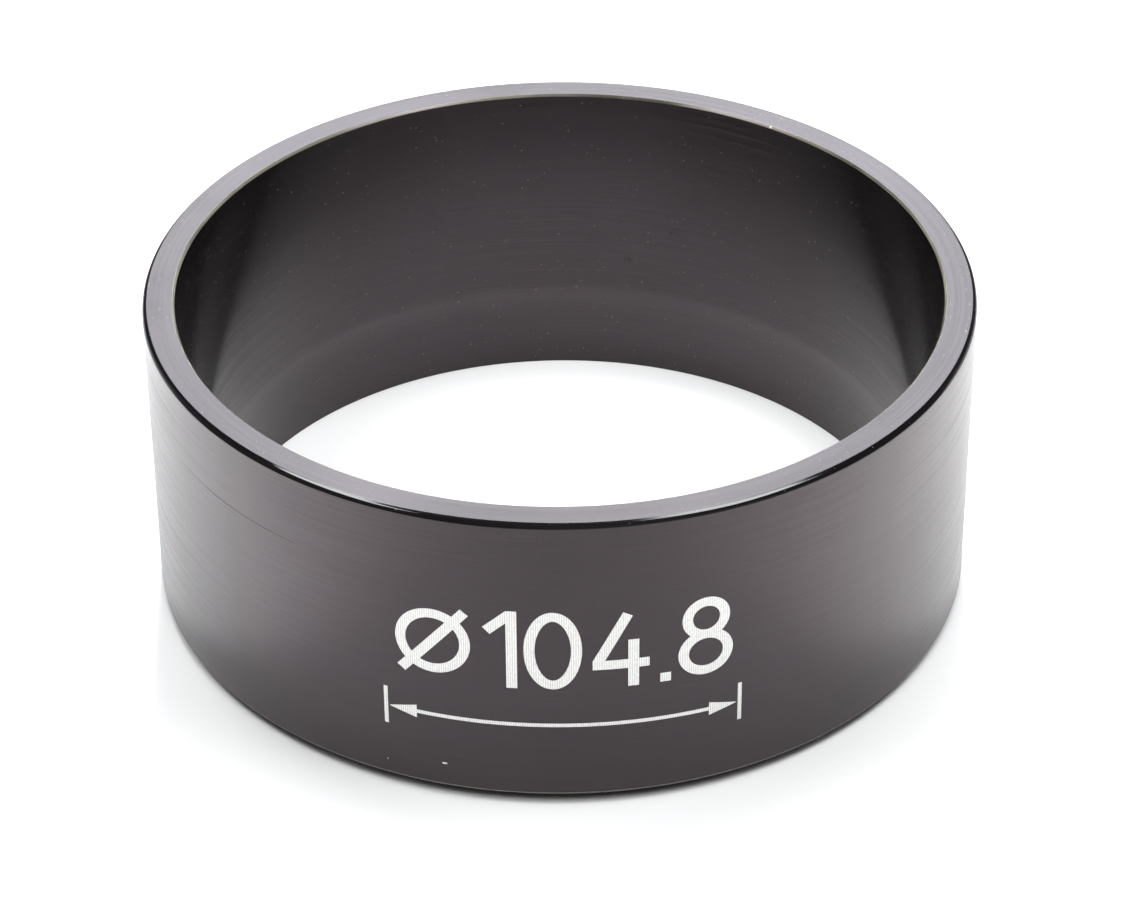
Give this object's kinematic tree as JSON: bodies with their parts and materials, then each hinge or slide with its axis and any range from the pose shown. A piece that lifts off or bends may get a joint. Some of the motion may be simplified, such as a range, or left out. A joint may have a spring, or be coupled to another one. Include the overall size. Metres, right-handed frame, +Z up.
{
  "type": "piston ring compressor",
  "caption": "Tapered piston ring compressor: a black anodised turned ring whose bore narrows from a wide mouth to a straight land at its foot.",
  "frame": {"origin": "middle of the foot face, on the axis of the bore", "axes": "+Z up along the bore axis, from the straight land at the foot to the wide mouth"},
  "size_m": [0.1206, 0.1206, 0.0476],
  "materials": {
    "black_anodised": "black anodised over fine turning marks"
  },
  "bodies": {
    "root": {"sleeve": "black_anodised"}
  },
  "joints": []
}
